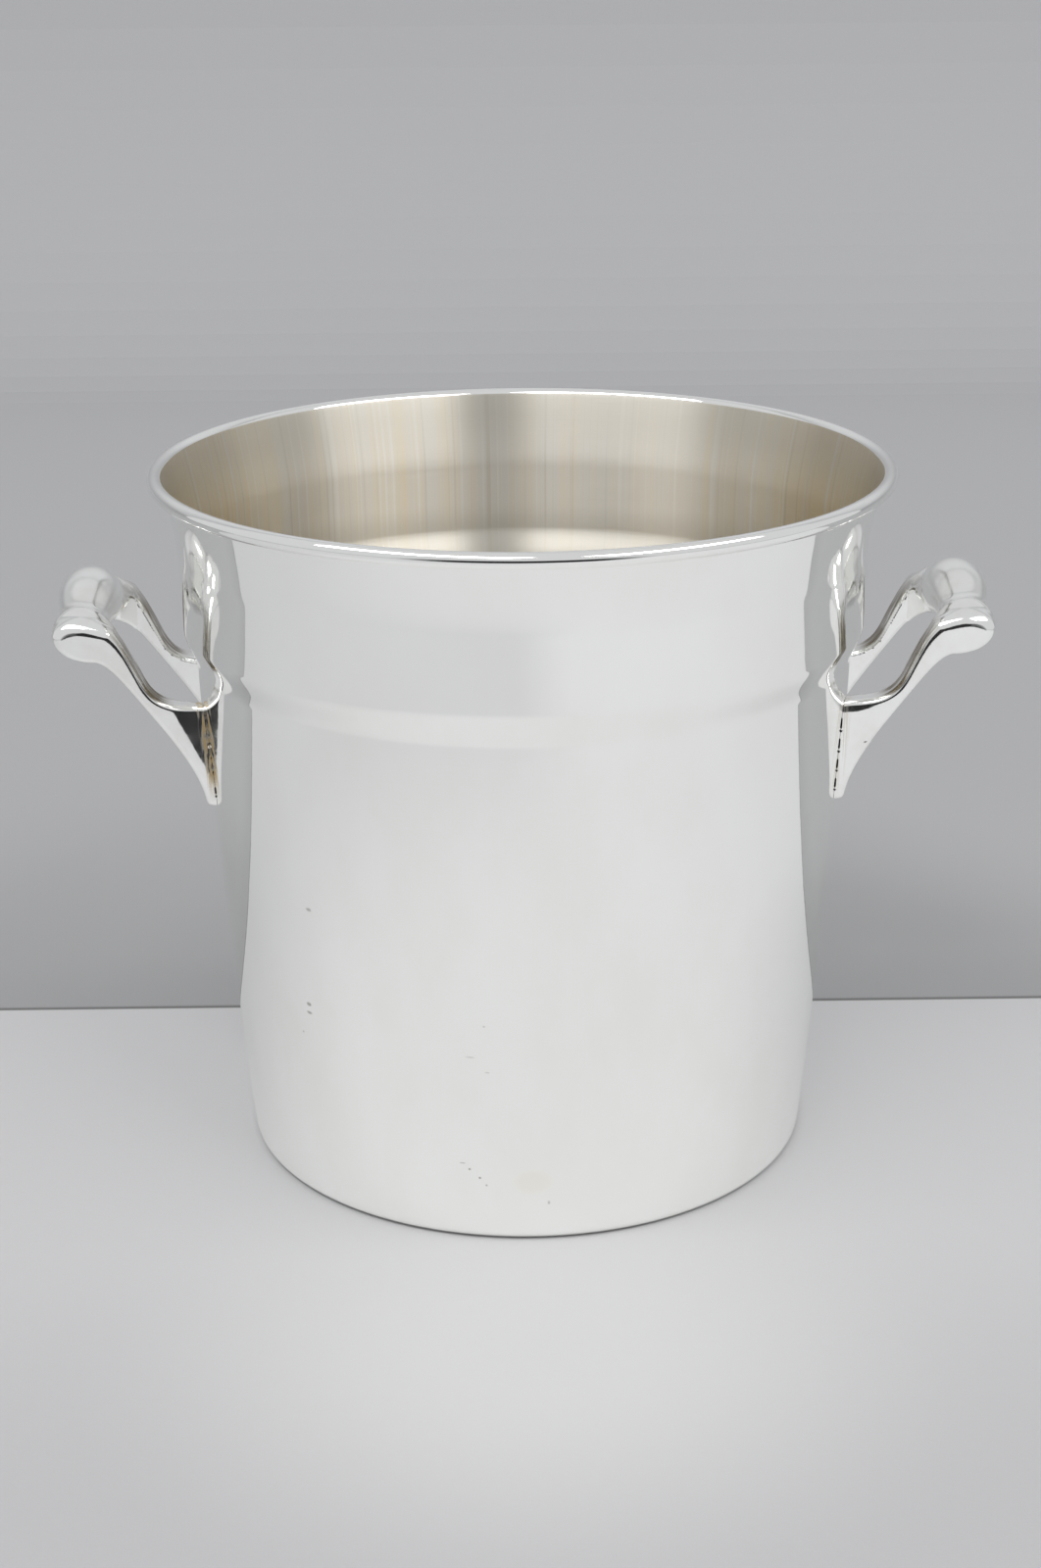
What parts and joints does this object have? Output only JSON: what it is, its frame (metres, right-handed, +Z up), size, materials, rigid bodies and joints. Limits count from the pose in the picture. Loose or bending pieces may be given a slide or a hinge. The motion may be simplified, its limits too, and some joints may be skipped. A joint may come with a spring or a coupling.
{
  "type": "champagne bucket",
  "caption": "Round tapered metal wine cooler with a stepped upper band, a rolled rim and a barrel-grip handle on each side.",
  "frame": {"origin": "on the table, at the middle of the bucket's base", "axes": "+Z up through the mouth; +X and -X point to the two handles, so the grips run along Y"},
  "size_m": [0.2786, 0.22, 0.2117],
  "materials": {
    "silver_shell": "silver plate, polished outside with fine scratches, satin brushed inside",
    "silver_handle": "bright polished silver plate on cast metal, darker in its corners",
    "wire": "plain drawn wire, hidden inside the rolled rim"
  },
  "bodies": {
    "root": {"body_shell": "silver_shell", "rim_wire": "wire", "right_front_arm": "silver_handle", "right_rear_arm": "silver_handle", "right_grip": "silver_handle", "left_front_arm": "silver_handle", "left_rear_arm": "silver_handle", "left_grip": "silver_handle"}
  },
  "joints": []
}
